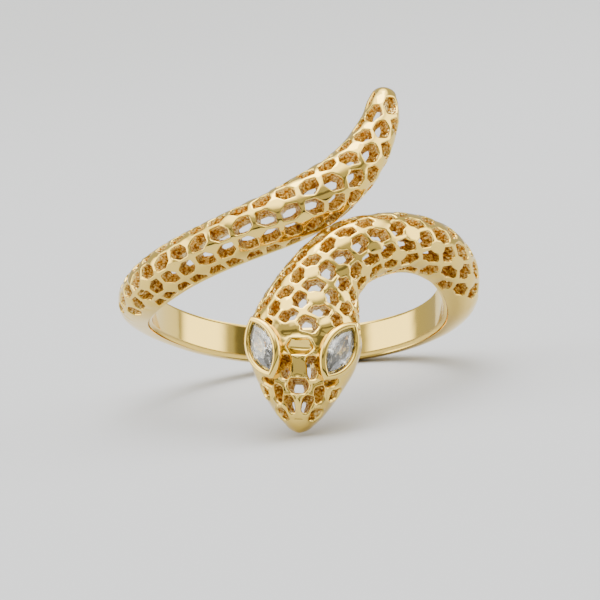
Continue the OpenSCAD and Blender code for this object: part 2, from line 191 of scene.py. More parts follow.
# row, degrees off the face's middle, half length, half width, slant, share of straight side
FACE = np.array([
    [13.83, 0, 0.42, 0.47, 0, 0.12],
    [15.15, 0, 0.37, 0.43, 0, 0.25],
    [14.5, 11, 0.6, 0.2, 10, 0.6],
    [15.87, 14.5, 0.42, 0.27, -5, 0.6],
    [15.4, 30, 0.44, 0.28, 30, 0.6],
    [14.82, 38, 0.42, 0.26, -62, 0.6],
    [16.2, 48, 0.28, 0.42, 10, 0.6],
    [15.2, 60, 0.42, 0.3, -60, 0.6],
    [16.69, 0, 0.15, 0.33, 0, 0.4]])
FACE_TURN = -3.5


def lattice_line(rows, spread):
    """The path on the flat lattice: steps of length / square in the direction heading - turn,
    summed up. Columns: place u, point p q, direction, square, way across."""
    n = (len(rows) - 1) * FINE
    u = np.arange(n + 1) / FINE
    square = row_at(rows, u)[:, 4]
    turn = np.radians(row_at(rows, u)[:, 5])
    length = np.linalg.norm(unrolled(rows, u + 1 / FINE) - unrolled(rows, u), axis=1) / square
    way = heading(rows, u + 0.5 / FINE) - turn
    step = length[:, None] * np.stack([np.cos(way), np.sin(way)], 1)
    point = np.vstack([[0, 0], np.cumsum(step, 0)[:-1]])
    way = heading(rows, u) - turn
    return u, point, np.stack([np.cos(way), np.sin(way)], 1), square, spread * half_rim(rows, u)


def ahead_of(p, point, way):
    """How far each point p of the net lies ahead of each step of the line, and at which step
    the line passes it."""
    d = ((p[:, None] - point[None]) * way[None]).sum(2)
    return d, (d[:, 1:-2] >= 0) & (d[:, 2:-1] < 0)


def left_of(off, way, hit):
    """Way from the line to the left, way x off, where the line passes; far off elsewhere."""
    return np.where(hit, way[1:-2, 0] * off[..., 1] - way[1:-2, 1] * off[..., 0], 99)


def opening_corners(odd, bulge):
    """Octagon in one lattice square: the edges of the struts, and at two facing corners the rim
    of a plate, as the chord of its disc (bulge 0) or as the disc's arc (bulge 1)."""
    b, c = 0.5 - STRUT_W / 2 / CELL, CROSS_CUT
    e = 0.5 - np.sqrt(PLATE_R**2 - (0.5 - b) ** 2)
    m = (b + e) / 2
    m += bulge * (0.5 - PLATE_R / np.sqrt(2) - m)
    loop = np.array([
        [-e, -b], [b - c, c - b], [b, e], [m, m], [e, b], [c - b, b - c], [-b, -e], [-m, -m]])
    return np.roll(loop[::-1], -1, 0) * [-1, 1] if odd else loop


def openings(rows, spread, at_row, at_point, span, bulge):
    """Corners (u, t) of every opening: the lattice squares' middles, found across the line,
    and the octagon laid round each by the line's pace and the section's degrees, cut off
    straight along the rails."""
    u, point, way, square, across = lattice_line(rows, spread)
    p = NET + 0.5 - (np.array(at_point) - point[at_row * FINE])
    d, hit = ahead_of(p, point, way)
    f = np.where(hit, d[:, 1:-2] / np.where(hit, d[:, 1:-2] - d[:, 2:-1], 1), 0)
    foot = point[1:-2] + f[..., None] * (point[2:-1] - point[1:-2])
    w = left_of(p[:, None] - foot, way, hit)
    k = np.abs(w).argmin(1)
    n = np.arange(len(p))
    w, f, k = w[n, k], f[n, k], k + 1
    bend = way[k, 0] * way[k + 1, 1] - way[k, 1] * way[k + 1, 0]
    pace = (np.linalg.norm(point[k + 1] - point[k], axis=1) - bend * w) * FINE
    degrees = 180 * square[k] / across[k]
    mid_u, mid_t = u[k] + f / FINE, 90 + w * degrees
    edge = 90 - RAIL_H * 180 / half_rim(rows, mid_u)
    reach = np.minimum(edge - CENTRE_ROOM * degrees, (mid_u - span[0]) * START_GAIN)
    keep = (np.abs(w) < 90) & (mid_u >= span[0]) & (mid_u <= span[1])
    keep &= (np.abs(mid_t - 90) <= reach) & (pace > LEAST_PACE)
    odd = (NET.sum(1) % 2 != 0)[keep, None, None]
    corners = np.where(odd, opening_corners(True, bulge), opening_corners(False, bulge))
    k, pace, degrees, edge = k[keep], pace[keep], degrees[keep], edge[keep, None]
    along = (corners * way[k][:, None]).sum(2) / pace[:, None]
    left = np.stack([-way[k, 1], way[k, 0]], 1)
    side = (corners * left[:, None]).sum(2) * degrees[:, None]
    t = 90 + np.clip(mid_t[keep, None] - 90 + side, -edge, edge)
    return np.stack([mid_u[keep, None] + along, t], 2)


def plates(rows, spread, at_row, at_point):
    """Places (u, t) of the net's knots where a plate stands, and its size, which is 1."""
    u, point, way, square, across = lattice_line(rows, spread)
    p = NET[NET.sum(1) % 2 == 0] - (np.array(at_point) - point[at_row * FINE])
    w = left_of(p[:, None] - point[1:-2], way, ahead_of(p, point, way)[1])
    k = np.abs(w).argmin(1)
    w = w[np.arange(len(p)), k]
    k, w = k[np.abs(w) < 90] + 1, w[np.abs(w) < 90]
    return np.stack([u[k], 90 + w * 180 * square[k] / across[k], np.ones(len(k))])


def face_openings():
    """Octagons of the face, laid by the head's pace and degrees, mirrored over the ridge."""
    mirrored = FACE[FACE[:, 1] > 0]
    f = np.vstack([FACE, mirrored])
    side = np.repeat([1, -1], [len(FACE), len(mirrored)])[:, None]
    step = unrolled(front, f[:, 0] + 0.5) - unrolled(front, f[:, 0] - 0.5)
    pace = np.linalg.norm(step, axis=1)[:, None]
    degrees = (180 / half_rim(front, f[:, 0]))[:, None]
    c = np.array([[-1, -0.6], [-0.6, -1], [0.6, -1], [1, -0.6],
                  [1, 0.6], [0.6, 1], [-0.6, 1], [-1, 0.6]])
    a = np.radians(f[:, 4:5])
    e = np.where(np.abs(c[:, 1]) == 1, c[:, 0] / 0.6 * f[:, 5:6], c[:, 0])
    x = e * f[:, 2:3] * np.cos(a) - c[:, 1] * f[:, 3:4] * np.sin(a)
    y = e * f[:, 2:3] * np.sin(a) + c[:, 1] * f[:, 3:4] * np.cos(a)
    t = 90 + FACE_TURN + side * (f[:, 1:2] + y * degrees)
    loops = np.stack([f[:, 0:1] + x / pace, t], 2)
    return np.where(side[:, :, None] > 0, loops, loops[:, ::-1])


# The casting: seats of the eyes.
# They were cut into the head before the bezels were soldered on, one beside each brow. A
# stone's outline is a marquise: two arcs that meet in points.
STONE_L, STONE_W = 3.0, 1.5
HALF_L, HALF_W = STONE_L / 2, STONE_W / 2
ARC_R = (HALF_L**2 + HALF_W**2) / (2 * HALF_W)
BEZEL_W = 0.36
SEAT_D = 1.5  # that a bezel reaches into and out of the head
EYE_ROW, EYE_SIDE, EYE_SLANT = 13.84, 31, 14


def marquise(d, n=24):
    """Two arcs of radius r = (a^2 + b^2) / 2b, grown by d, through 2n points, clockwise:
    y = sqrt((r + d)^2 - x^2) - (r - b)."""
    ends = np.sqrt((ARC_R + d) ** 2 - (ARC_R - HALF_W) ** 2)
    x = ends * np.cos(np.pi * np.arange(n + 1) / n)
    y = np.sqrt(np.maximum((ARC_R + d) ** 2 - x**2, 0)) - (ARC_R - HALF_W)
    return np.vstack([np.stack([x, -y], 1), np.stack([x, y], 1)[-2:0:-1]])


def eye_frame(side):
    """Origin and axes of an eye: z out of the head, x along the stone."""
    t = 90.0 + FACE_TURN + side * EYE_SIDE
    du = skin(front, EYE_ROW + 0.02, t) - skin(front, EYE_ROW - 0.02, t)
    dt = skin(front, EYE_ROW, t + 1) - skin(front, EYE_ROW, t - 1)
    z = np.cross(du, dt)
    z /= np.linalg.norm(z)
    e = du / np.linalg.norm(du)
    slant = np.radians(EYE_SLANT)
    x = e * np.cos(slant) - side * np.cross(z, e) * np.sin(slant)
    return skin(front, EYE_ROW, t), np.stack([x, np.cross(z, x), z])


def under_eye(p):
    """Whether a point of the head lies inside the middle line of a bezel."""
    inside = np.zeros(len(p), bool)
    for side in (-1, 1):
        o, axes = eye_frame(side)
        x, y, z = ((p - o) @ axes.T).T
        from_arc = np.hypot(x, np.abs(y) + ARC_R - HALF_W)
        inside |= (from_arc < ARC_R + BEZEL_W / 2) & (np.abs(z) < SEAT_D)
    return inside


# The casting: at rest.
# The ring was drawn round the finger axis. It lies on the snout and on the shank behind.
REST_TILT, REST_ROLL = np.radians(28.2), np.radians(7.3)
RING_CENTRE = np.array([-0.1278, 2.5202, 5.5405])
LAY = np.array(Matrix.Rotation(REST_ROLL, 3, "Y") @ Matrix.Rotation(-REST_TILT, 3, "X"))


def laid(p):
    """Point of the drawn ring, in mm, where it is once the ring lies on the floor."""
    return p @ LAY.T + RING_CENTRE


# The casting: mesh.
# Outer sheet, inner sheet and the walls of the openings between them share their edge points,
# so the metal is one closed skin. Outside it was polished; the openings stay as cast.
POLISHED, AS_CAST = 0, 1  # material numbers
GRAIN, RINGS = 0.125, np.array([0.02, 0.055, 0.095, 0.17])  # points of the outer sheet
INNER_GRAIN, INNER_RINGS = 0.26, np.array([0.12])
OUTER_T, INNER_T = np.linspace(0, 180, 41), np.linspace(0, 180, 21)
PLAIN_STEPS, PIERCED_STEPS, END_STEPS = 44, 150, 15
WALL_STEPS, BOWL_STEPS = 4, 12
EDGE_R = 0.08  # of the polished edge at an opening
DOME_H, FLAT_SINK = 0.05, -0.06  # of a plate, over and under the skin
DOME_EDGE, DOME_FADE = 0.4, 0.16  # in lattice squares
RIM_H, RIM_AT, RIM_W = 0.05, 0.095, 0.05  # of the bead round an opening of the face
END_FADE, RAIL_FADE = 0.3, 14  # mm and degrees in which domes and rims fade out
RIM_FADE = 0.6  # rows in which the beads of the face rise
KNOT_ROOM = 12  # degrees from a rail, within which no plate stands
NEARBY = 2.2  # mm, beyond which an opening is too far away to matter
INNER_SHARE = 0.76  # of an opening at the hollow
POCKET_D, BOWL_D = 0.5, 0.4
CORNER_CUT = 0.035
SIDE_POINTS = (4, 4, 1, 1, 4, 4, 1, 1)  # on the sides of an opening
INNER_WAVE, INNER_ROUGH = 0.35, 0.02
WALL_WAVE, WALL_ROUGH = 0.22, 0.03


def rounded_loop(corners):
    """Each side of an opening, less a small cut at both its corners, with its points evenly."""
    ahead = np.roll(corners, -1, 1) - corners
    length = np.maximum(np.linalg.norm(ahead, axis=2, keepdims=True), 1e-6)
    cut = np.minimum(CORNER_CUT / length, 0.25)
    sides = [corners[:, k:k + 1] + ahead[:, k:k + 1] * (
        cut[:, k:k + 1] + (1 - 2 * cut[:, k:k + 1]) * np.linspace(0, 1, n + 2)[:, None])
        for k, n in enumerate(SIDE_POINTS)]
    return np.concatenate(sides, 1)


def clearance(points, loops):
    """Signed way from each point to the nearest opening: the least distance to a side of a
    loop, below 0 where a ray from the point crosses the loop an odd number of times."""
    best = np.full(len(points), 1e3)
    for loop in loops:
        near = np.abs(points - loop.mean(0)).max(1) < NEARBY
        p, a, b = points[near][:, None], loop[None], np.roll(loop, -1, 0)[None]
        side = b - a
        f = np.clip(((p - a) * side).sum(2) / np.maximum((side**2).sum(2), 1e-12), 0, 1)
        d = np.linalg.norm(p - a - f[..., None] * side, axis=2).min(1)
        rise = np.where(side[..., 1] == 0, 1, side[..., 1])
        cross = ((a[..., 1] > p[..., 1]) != (b[..., 1] > p[..., 1])) & (
            p[..., 0] < a[..., 0] + side[..., 0] * (p[..., 1] - a[..., 1]) / rise)
        best[near] = np.minimum(best[near], np.where(cross.sum(1) % 2 == 1, -d, d))
    return best


def rim(d, raised):
    """Height of the polished metal over the skin, d away from an opening: a quarter round at
    the edge and a low bead, where raised, round the opening."""
    e = np.clip(d, 0, EDGE_R)
    edge = EDGE_R - np.sqrt(np.maximum(EDGE_R**2 - (EDGE_R - e) ** 2, 0))
    return raised * RIM_H * np.exp(-(((d - RIM_AT) / RIM_W) ** 2)) - edge


def grain_noise(p, wave, seed=3):
    """Sum of sine waves in twelve fixed directions, about -1 to 1, wavelengths round wave."""
    rng = np.random.default_rng(seed)
    k = rng.normal(size=(12, 3))
    k *= (2 * np.pi / (wave * rng.uniform(0.7, 1.5, 12)) / np.linalg.norm(k, axis=1))[:, None]
    return np.sin(p @ k.T + rng.uniform(0, 6.3, 12)).sum(1) / 3.5


def way_along(rows):
    """Fine places u on the path, and the way to each of them on the flat sheet, summed up."""
    u = np.linspace(0, len(rows) - 1, (len(rows) - 1) * FINE + 1)
    step = np.linalg.norm(np.diff(unrolled(rows, u), axis=0), axis=1)
    return u, np.concatenate([[0], np.cumsum(step)])


def flat(rows, u, t):
    """Flat point (s, v): the way along the path, and over the section from the ridge."""
    return np.stack([np.interp(u, *way_along(rows)), half_rim(rows, u) * (t - 90) / 180], -1)


def unflat(rows, p):
    """Place (u, t) of a flat point."""
    u, s = way_along(rows)
    u = np.interp(p[..., 0], s, u)
    return u, 90 + 180 * p[..., 1] / half_rim(rows, u)


def loops_of(rows, corners):
    """Loops (u, t) of the openings, rounded on the flat sheet."""
    return np.stack(unflat(rows, rounded_loop(flat(rows, *np.moveaxis(corners, 2, 0)))), -1)


def rings_round(loops, offsets):
    """Points off each loop by each offset, less those that come too near another loop."""
    edge = np.roll(loops, -1, 1) - np.roll(loops, 1, 1)
    normal = np.stack([edge[..., 1], -edge[..., 0]], -1)
    normal = normal / np.linalg.norm(edge, axis=2)[..., None]
    rings = [(loops + normal * off).reshape(-1, 2) for off in offsets]
    return [p[clearance(p, loops) > off * 0.94] for p, off in zip(rings, offsets)]


def sheet(rows, us, ts, loops, grain, offsets):
    """Delaunay triangles of the flat sheet between the rails, with the openings' loops as
    edges, rings of points round each loop and a hexagonal grid of points elsewhere.
    Returns flat points, triangles, and the way of each point from the nearest opening."""
    bottom = flat(rows, us, np.full(len(us), ts[0]))
    top = flat(rows, us, np.full(len(us), ts[-1]))
    left = flat(rows, np.full(len(ts), us[0]), ts)[1:-1]
    right = flat(rows, np.full(len(ts), us[-1]), ts)[1:-1]
    border = np.vstack([bottom, right, top[::-1], left[::-1]])
    n, m = len(border), loops.shape[1]
    edges = [(k, (k + 1) % n) for k in range(n)]
    edges += [(n + k * m + j, n + k * m + (j + 1) % m) for k in range(len(loops)) for j in range(m)]
    lo, hi = border.min(0), border.max(0)
    x, y = np.meshgrid(np.arange(lo[0], hi[0], grain * 0.866), np.arange(lo[1], hi[1], grain),
                       indexing="ij")
    y = y + (np.arange(len(x)) % 2)[:, None] * grain / 2
    field = np.stack([x.ravel(), y.ravel()], 1)
    field = field[clearance(field, loops) > offsets[-1] + grain * 0.55]
    extra = np.vstack([*rings_round(loops, offsets), field])
    u, t = unflat(rows, extra)
    margin = grain * 0.45 / half_rim(rows, u) * 180
    s0, s1 = flat(rows, us[0], 90.0)[0], flat(rows, us[-1], 90.0)[0]
    inside = (t > ts[0] + margin) & (t < ts[-1] - margin)
    inside &= (extra[:, 0] > s0 + grain * 0.4) & (extra[:, 0] < s1 - grain * 0.4)
    points = np.vstack([border, loops.reshape(-1, 2), extra[inside]])
    out = delaunay_2d_cdt(points.tolist(), edges, [], 0, 1e-7)
    points, triangles = np.array([tuple(p) for p in out[0]]), np.array(out[2])
    mid = points[triangles].mean(1)
    t = unflat(rows, mid)[1]
    keep = (clearance(mid, loops) > 0) & (t > ts[0]) & (t < ts[-1])
    triangles = triangles[keep & (mid[:, 0] > s0) & (mid[:, 0] < s1)]
    a, b, c = (points[triangles[:, k]] for k in range(3))
    area = (b[:, 0] - a[:, 0]) * (c[:, 1] - a[:, 1]) - (b[:, 1] - a[:, 1]) * (c[:, 0] - a[:, 0])
    turned = np.where((area < 0)[:, None], triangles[:, ::-1], triangles)
    return points, turned[np.abs(area) > 1e-9], clearance(points, loops)


def sole(rows, u, cove=3, rail=3, middle=4):
    """Points of the finger face across the body at u, from +w to -w: a cove of a quarter circle,
    the rail at n = 0, the part that the hollow takes away further on, rail and cove."""
    half = row_at(rows, u)[:, 2:3] / 2
    d = np.minimum(WALL_T, WALL_LIMIT * half)
    r = np.minimum(EDGE_BEVEL, WALL_LIMIT * half)
    a = np.radians(90 * np.arange(1, cove + 1) / (cove + 1))
    f, g = np.linspace(0, 1, rail + 1), np.linspace(1, -1, middle + 1)
    side = np.concatenate([half - r * np.sin(a), (half - r) * (1 - f) + (half - d) * f], 1)
    w = np.concatenate([side, (half - d) * g[1:-1], -side[:, ::-1]], 1)
    up = np.concatenate([r * np.cos(a), 0 * half * f], 1)
    n = np.concatenate([up, 0 * half * g[1:-1], up[:, ::-1]], 1)
    return wrapped(rows, u[:, None] + 0 * w, w, n)


def section(rows, u):
    """Closed sections at u: the skin from rail to rail, and the finger face back."""
    return np.concatenate([skin(rows, u[:, None], OUTER_T[None]), sole(rows, u)], 1)


class Mesh:
    """Points, faces with a material number, gathered piece by piece and merged at the end.
    With seats, faces under a bezel are left out."""

    def __init__(self, seats=False):
        self.points, self.faces, self.kinds, self.count, self.seats = [], [], [], 0, seats

    def add(self, points, faces, kind):
        """Points, faces as numbers of these points, and the number of their material."""
        points, faces = np.asarray(points, float).reshape(-1, 3), np.asarray(faces, int)
        if self.seats:
            faces = faces[~under_eye(points[faces].mean(1))]
        self.points.append(points)
        self.faces.append(faces + self.count)
        self.kinds.append(np.full(len(faces), kind))
        self.count += len(points)

    def grid(self, points, kind, close=False):
        """Quads of a grid of points, shape (a, b, 3); close joins its last column to its first."""
        a, b = points.shape[:2]
        i = np.arange(a * b).reshape(a, b)
        if close:
            i = np.concatenate([i, i[:, :1]], 1)
        q = np.stack([i[:-1, :-1], i[:-1, 1:], i[1:, 1:], i[1:, :-1]], -1).reshape(-1, 4)
        self.add(points, q, kind)

    def build(self, name, materials, sharp=35):
        """One Blender object in metres: quads and triangles by from_pydata, doubles merged."""
        faces = [f.tolist() for block in self.faces for f in block]
        mesh = bpy.data.meshes.new(name)
        mesh.from_pydata((laid(np.vstack(self.points)) * 0.001).tolist(), [], faces)
        for m in materials:
            mesh.materials.append(m)
        kinds = np.concatenate(self.kinds).astype(np.int32)
        mesh.polygons.foreach_set("material_index", kinds)
        bm = bmesh.new()
        bm.from_mesh(mesh)
        bmesh.ops.remove_doubles(bm, verts=bm.verts, dist=2e-6)
        bmesh.ops.dissolve_degenerate(bm, dist=1e-7, edges=bm.edges)
        loose = [v for v in bm.verts if not v.link_faces]
        bmesh.ops.delete(bm, geom=loose, context="VERTS")
        bmesh.ops.recalc_face_normals(bm, faces=bm.faces)
        bm.to_mesh(mesh)
        bm.free()
        mesh.polygons.foreach_set("use_smooth", np.ones(len(mesh.polygons), bool))
        mesh.set_sharp_from_angle(angle=np.radians(sharp))
        mesh.update()
        piece = bpy.data.objects.new(name, mesh)
        bpy.context.scene.collection.objects.link(piece)
        return piece


def bowl(edge, floor):
    """Rings of a polished dish: the edge of the opening at its rim, rounder at each step down
    the quarter circle to the middle of its floor."""
    middle = floor.mean(0)
    up = edge.mean(0) - middle
    across, rings = edge - middle - up, []
    for a in np.radians(np.linspace(0, 89, BOWL_STEPS)):
        rings.append(middle + across * np.cos(a) + up * (1 - np.sin(a)))
        for _ in range(4):
            across = (np.roll(across, 1, 0) + 2 * across + np.roll(across, -1, 0)) / 4
    return np.array(rings)


class Half:
    """One half of the ring, from the back of the band to its end. The span holds the rows
    where the pierced part begins, where the hollow begins and ends, and the end's row. Knots
    are the plates' rows, degrees and sizes, flatness their share of the way from the skin to a
    plane. Bowls are the numbers of the openings that are dishes, and beads stand round the
    openings from a row on."""

    def __init__(self, rows, loops, knots, spread, flatness, span,
                 bowls=(), blunt=1.0, rims_from=99.0):
        self.rows, self.loops, self.spread, self.flatness = rows, loops, spread, flatness
        self.span, self.blunt, self.rims_from = span, blunt, rims_from
        self.bowls = list(bowls)
        u, t = knots[:2]
        on_body = (np.abs(t - 90) < 90 - KNOT_ROOM) & (u > span[0] + 0.4) & (u < span[2])
        self.knots = knots[:, on_body]
        self.us = np.linspace(span[0], span[2], PIERCED_STEPS)
        self.start = np.searchsorted(self.us, span[1])

    def polished(self, u, t, d, fade):
        """The outside at (u, t): the skin, on a plate drawn towards the plane that touches the
        skin at its knot and raised to a low dome, with a rim and less the rounded edge at an
        opening d away."""
        rows, (ku, kt, size) = self.rows, self.knots
        base, n = skin(rows, u, t), outward(rows, u, t)
        way = flat(rows, u, t)[:, None] - flat(rows, ku, kt)[None]
        gap = np.hypot(way[..., 0], way[..., 1] * self.spread) / (row_at(rows, ku)[:, 4] * size)
        k = gap.argmin(1)
        gap = gap[np.arange(len(u)), k]
        f = np.clip((gap - DOME_EDGE) / DOME_FADE, 0, 1)
        share = (1 - f * f * (3 - 2 * f)) * fade
        knot, up = skin(rows, ku, kt)[k], outward(rows, ku, kt)[k]
        below = ((base - knot) * up).sum(1)
        dome = DOME_H * size[k] ** 3 * (1 - (gap / PLATE_R) ** 2)
        lift = share * (self.flatness * (FLAT_SINK - below) + dome)
        raised = np.clip((u - self.rims_from) / RIM_FADE, 0, 1) * fade
        return base + up * lift[:, None] + n * rim(d, raised)[:, None]

    def outside(self, p, d):
        """Points of the outside at flat points p, d away from the nearest opening. Domes and
        rims fade out towards the rails and the ends."""
        u, t = unflat(self.rows, p)
        t = np.clip(t, 0, 180)
        from_rail = np.minimum(t, 180 - t)
        s0, s1 = (flat(self.rows, self.span[k], 90.0)[0] for k in (0, 2))
        fade = np.clip(np.minimum(p[:, 0] - s0, s1 - p[:, 0]) / END_FADE, 0, 1)
        top = self.polished(u, t, d, fade * np.clip(from_rail / RAIL_FADE, 0, 1))
        return np.where((from_rail < 1e-3)[:, None], skin(self.rows, u, t), top)

    def add_hollow(self, mesh):
        """Inner sheet, from where the hollow begins. Returns the openings' loops at its depth,
        and which of them go through."""
        rows, loops, us = self.rows, self.loops, self.us[self.start:]
        mid = loops.mean(1, keepdims=True)
        inner = mid + (loops - mid) * INNER_SHARE
        through = inner[..., 0].min(1) > us[0] + 0.04
        through[self.bowls] = False
        flat_inner = flat(rows, *np.moveaxis(inner[through], 2, 0))
        p, triangles, d = sheet(rows, us, INNER_T, flat_inner, INNER_GRAIN, INNER_RINGS)
        u, t = unflat(rows, p)
        low = skin(rows, u, np.clip(t, 0, 180), WALL_T)
        rough = outward(rows, u, t, WALL_T) * (grain_noise(low, INNER_WAVE) * INNER_ROUGH)[:, None]
        loose = (d > 1e-4) & (t > 1) & (t < 179)
        mesh.add(low + rough * loose[:, None], triangles[:, ::-1], AS_CAST)
        return inner, through

    def add_walls(self, mesh, outer, inner, through):
        """Walls of the openings, rough as cast, the floors of those before the hollow, and the
        polished bowls."""
        depth = np.where(through, WALL_T, POCKET_D)[:, None]
        depth[self.bowls] = BOWL_D
        foot = skin(self.rows, inner[..., 0], inner[..., 1], depth)
        f = np.linspace(0, 1, WALL_STEPS + 1)[:, None, None]
        for k, (a, b) in enumerate(zip(outer, foot)):
            if k in self.bowls:
                mesh.grid(bowl(a, b), POLISHED, close=True)
                continue
            wall = a[None] * (1 - f) + b[None] * f
            out = wall - wall.mean(1, keepdims=True)
            out /= np.linalg.norm(out, axis=2, keepdims=True)
            rough = grain_noise(wall.reshape(-1, 3), WALL_WAVE).reshape(wall.shape[:2])
            rough[0] = rough[-1] = 0
            mesh.grid(wall + out * (rough * WALL_ROUGH)[..., None], AS_CAST, close=True)
            if not through[k]:
                shares = np.array([1, 0.7, 0.4, 0.01])[:, None, None]
                mesh.grid(b.mean(0) + (b - b.mean(0)) * shares, AS_CAST, close=True)

    def add_finger_face(self, mesh):
        """Finger face, closed from rail to rail before the hollow, then the rails beside it:
        cove, finger face and the wall up to the inner sheet. A fan closes each end."""
        rows, us, start = self.rows, self.us, self.start
        rims = [skin(rows, us, np.full(len(us), t)) for t in (180.0, 0.0)]
        s = sole(rows, us)
        mesh.grid(np.concatenate([rims[0][:, None], s, rims[1][:, None]], 1)[:start + 1], POLISHED)
        for edge, cols, t in ((rims[0], s[:, :7], 180.0), (rims[1], s[:, :-8:-1], 0.0)):
            mesh.grid(np.concatenate([edge[:, None], cols], 1)[start:], POLISHED)
            up = skin(rows, us[start:], np.full(len(us) - start, t), WALL_T)
            foot = cols[start:, -1]
            mesh.grid(np.stack([foot, (foot + up) / 2, up], 1), AS_CAST)
        for k in (start, -1):
            arch = skin(rows, np.full(len(INNER_T), us[k]), INNER_T, WALL_T)
            floor = s[k, 6:11]
            loop = np.vstack([arch, (arch[-1] + floor[0])[None] / 2,
                              floor, (floor[-1] + arch[0])[None] / 2])
            m = len(loop)
            i = np.arange(m)
            fan = np.stack([i, (i + 1) % m, np.full(m, m)], 1)
            mesh.add(np.vstack([loop, loop.mean(0)]), fan, AS_CAST)

    def add_end(self, mesh):
        """Plain end: sections that shrink to a pole along a quarter circle. The blunter it is,
        the less they also follow the rows."""
        rows, (_, _, begin, end) = self.rows, self.span
        f = np.sin(np.linspace(0, np.pi / 2, END_STEPS))
        us = begin + (end - begin) * f
        k = np.sqrt(np.clip(1 - f**2, 0, 1))
        k = 1 - (1 - k) * np.clip(f * 1.2, 0, 1)
        back = begin + (us - begin) * self.blunt
        centre, old = (wrapped(rows, v, 0 * v, row_at(rows, v)[:, 3] * 0.4)[:, None]
                       for v in (us, back))
        ring = centre + (section(rows, back) - old) * k[:, None, None]
        mesh.grid(ring, POLISHED, close=True)

    def add_to(self, mesh):
        """Plain band, pierced part and end."""
        rows, loops = self.rows, self.loops
        mesh.grid(section(rows, np.linspace(0, self.span[0], PLAIN_STEPS)), POLISHED, close=True)
        flat_loops = flat(rows, loops[..., 0], loops[..., 1])
        p, triangles, d = sheet(rows, self.us, OUTER_T, flat_loops, GRAIN, RINGS)
        mesh.add(self.outside(p, d), triangles, POLISHED)
        inner, through = self.add_hollow(mesh)
        outer = self.outside(flat_loops.reshape(-1, 2), np.zeros(loops[..., 0].size))
        self.add_walls(mesh, outer.reshape(*loops.shape[:2], 3), inner, through)
        self.add_finger_face(mesh)
        self.add_end(mesh)


# The tail, whose plates follow its round back, and whose end is round
casting = Mesh()
loops = loops_of(tail, openings(tail, **TAIL_NET, span=TAIL_OPEN, bulge=0))
hollow_end = max(17.2, loops[..., 0].max() + 0.05)
Half(tail, loops, plates(tail, **TAIL_NET), TAIL_NET["spread"], flatness=0.6,
     span=(4.2, 5.3, hollow_end, 18)).add_to(casting)

# The head side, whose plates are flatter, with the two brows, the bowl between the eyes, the
# dimple at the snout, and a blunt end
casting.seats = True
net_openings = loops_of(front, openings(front, **FRONT_NET, span=FRONT_OPEN, bulge=1))
loops = np.concatenate([net_openings, loops_of(front, face_openings())])
BOWL, DIMPLE = len(net_openings), len(net_openings) + len(FACE) - 1
BROWS = np.array([[13.2, 12.98], [78, 106], [1.25, 1.25]])  # rows, degrees and sizes
NECK_END = 12.7
knots = plates(front, **FRONT_NET)
knots = np.hstack([knots[:, knots[0] < NECK_END], BROWS])
Half(front, loops, knots, FRONT_NET["spread"], flatness=0.85, span=(4.1, 5.3, 16.5, 17),
     bowls=[BOWL, DIMPLE], blunt=0.75, rims_from=12.9).add_to(casting)


def linear(code):
    """sRGB hex to linear: c / 12.92 below 0.04045, else ((c + 0.055) / 1.055)^2.4."""
    c = np.array([int(code[k:k + 2], 16) for k in (0, 2, 4)]) / 255
    return tuple(np.where(c < 0.04045, c / 12.92, ((c + 0.055) / 1.055) ** 2.4)) + (1.0,)


def node(material, kind, settings=(), links=()):
    """Adds a node, sets its inputs or properties by name, and links (from socket, input)."""
    n = material.node_tree.nodes.new(kind)
    for key, value in dict(settings).items():
        if isinstance(key, int) or key in n.inputs:
            n.inputs[key].default_value = value
        else:
            setattr(n, key, value)
    for source, name in links:
        material.node_tree.links.new(source, n.inputs[name])
    return n


def new_material(name, settings):
    """A material and its shader, with the shader's own inputs set."""
    m = bpy.data.materials.new(name)
    m.use_nodes = True
    bsdf = m.node_tree.nodes["Principled BSDF"]
    for key, value in settings.items():
        bsdf.inputs[key].default_value = value
    return m, bsdf


# 14 carat yellow gold, cast and mirror polished: pale warm metal, with the soft ripple that
# the polishing wheel leaves
RIPPLE = 10 / 9  # mm
gold, bsdf = new_material("gold_14k_polished", {
    "Base Color": linear("F0CE6A"), "Metallic": 1.0, "Roughness": 0.09})
place = node(gold, "ShaderNodeTexCoord").outputs["Object"]
ripple = node(gold, "ShaderNodeTexNoise", {"Scale": 1000 / RIPPLE, "Detail": 1.0},
              [(place, "Vector")])
bump = node(gold, "ShaderNodeBump", {"Strength": 0.12, "Distance": 0.00005},
            [(ripple.outputs[0], "Height")])
gold.node_tree.links.new(bump.outputs[0], bsdf.inputs["Normal"])

# The same gold as it left the mould: matt and grainy, with painted shade and a painted
# reflection of the gold in itself between the grains: deep orange brown in the gaps, lighter
# on the grains' tops. The real grain is finer, and is drawn as coarse as it needs to show
GRIT = 1 / 7  # mm
cast, bsdf = new_material("gold_14k_as_cast", {"Metallic": 1.0, "Roughness": 0.28})
place = node(cast, "ShaderNodeTexCoord").outputs["Object"]
grit = node(cast, "ShaderNodeTexVoronoi", {"Scale": 1000 / GRIT}, [(place, "Vector")])
grit = grit.outputs["Distance"]
# painted shade: colour from pale on the grains' tops to deep orange brown in the gaps between them,
# where the gold is shaded and mirrors itself
painted_shade_share = node(cast, "ShaderNodeMapRange", {"From Min": 0.3, "From Max": 0.75}, [(grit, "Value")])
painted_grain_shade = node(cast, "ShaderNodeMix", {
    "data_type": "RGBA", 6: linear("FFE9A0"), 7: linear("B0781F")}, [(painted_shade_share.outputs[0], 0)])
cast.node_tree.links.new(painted_grain_shade.outputs[2], bsdf.inputs["Base Color"])
bump = node(cast, "ShaderNodeBump", {"Strength": 1.0, "Distance": 0.00006, "invert": True},
            [(grit, "Height")])
cast.node_tree.links.new(bump.outputs[0], bsdf.inputs["Normal"])

ring = casting.build("snake_casting", [gold, cast])
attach(ring, "root")
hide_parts("snake_ring")

